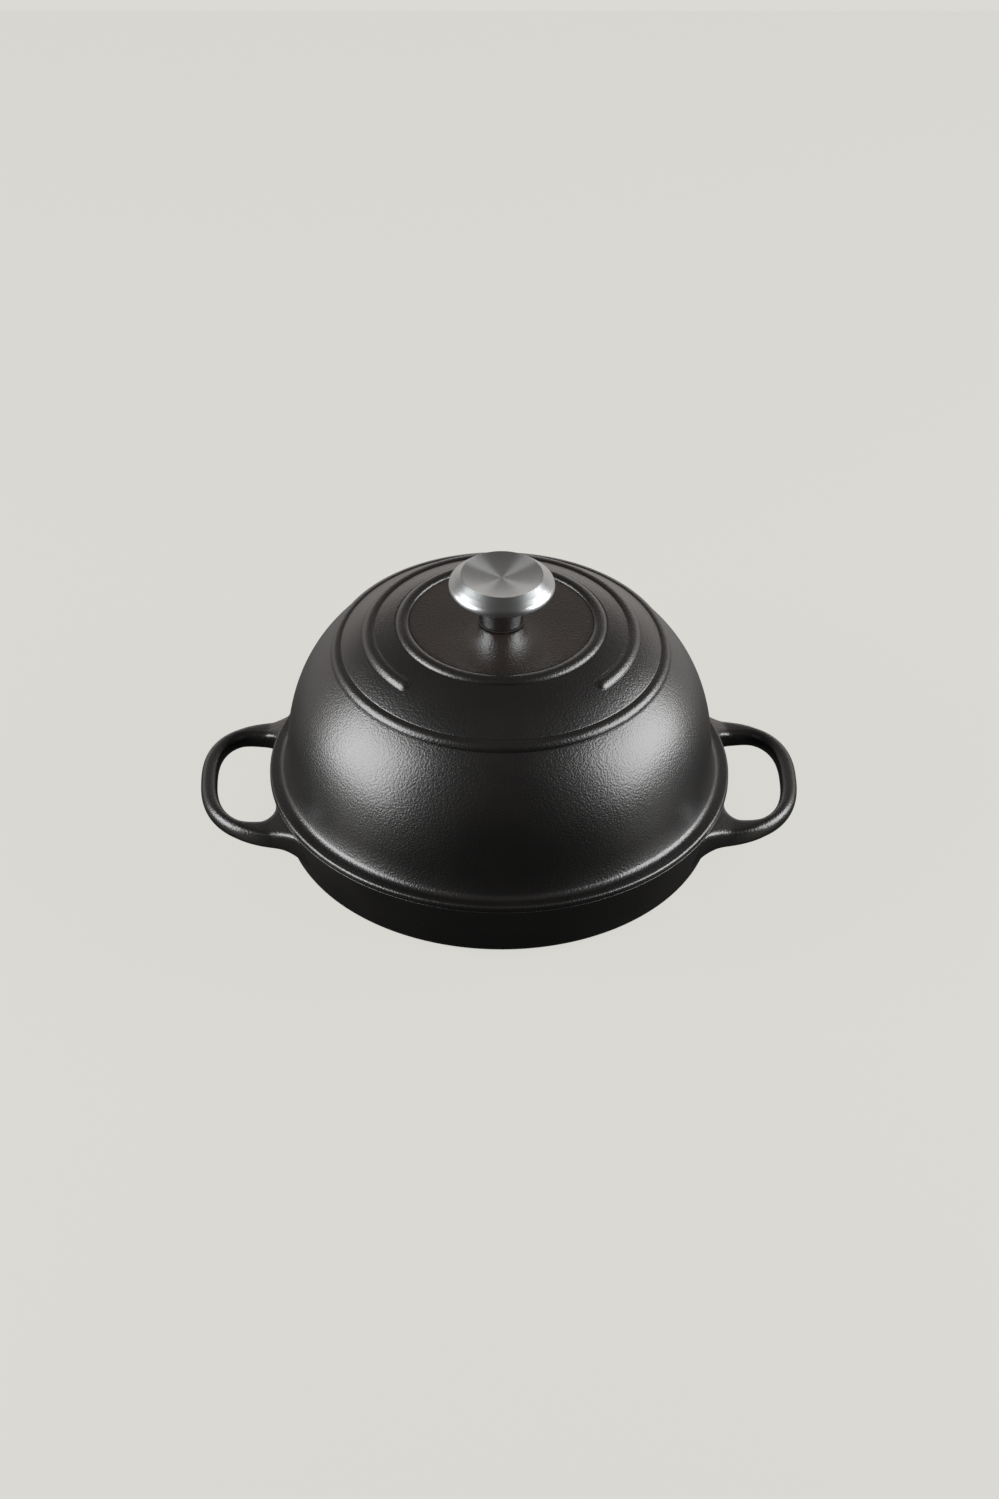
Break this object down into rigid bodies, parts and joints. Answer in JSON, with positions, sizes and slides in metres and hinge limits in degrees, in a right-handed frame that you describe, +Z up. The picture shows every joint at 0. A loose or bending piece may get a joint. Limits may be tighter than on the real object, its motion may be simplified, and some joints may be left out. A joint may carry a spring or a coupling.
{
  "type": "domed cast iron bread oven",
  "caption": "Shallow round cast iron pan with loop handles and a tall domed lid that lifts off by a hollow steel knob, for baking a loaf in trapped steam.",
  "frame": {"origin": "on the ground under the middle of the pan", "axes": "+X along the two handles, +Z up along the knob, -Y towards the gap in the lid's middle ring"},
  "size_m": [0.3252, 0.2492, 0.1641],
  "materials": {
    "enamel": "satin black enamel with a fine pebble",
    "knob_steel": "turned and brushed stainless steel",
    "hardware": "zinc plated steel",
    "gasket": "matt black silicone"
  },
  "bodies": {
    "pan": {"base": "enamel"},
    "lid": {"dome_lid": "enamel", "knob_gasket": "gasket", "knob_shell": "knob_steel", "knob_cap": "knob_steel", "knob_boss": "hardware", "knob_screw": "hardware", "flat_washer": "hardware", "spring_washer": "hardware"}
  },
  "joints": [
    {"name": "lid_lift", "type": "slide", "parent": "pan", "child": "lid", "axis": [0, 0, 1], "range_m": [0, 0.2]}
  ]
}
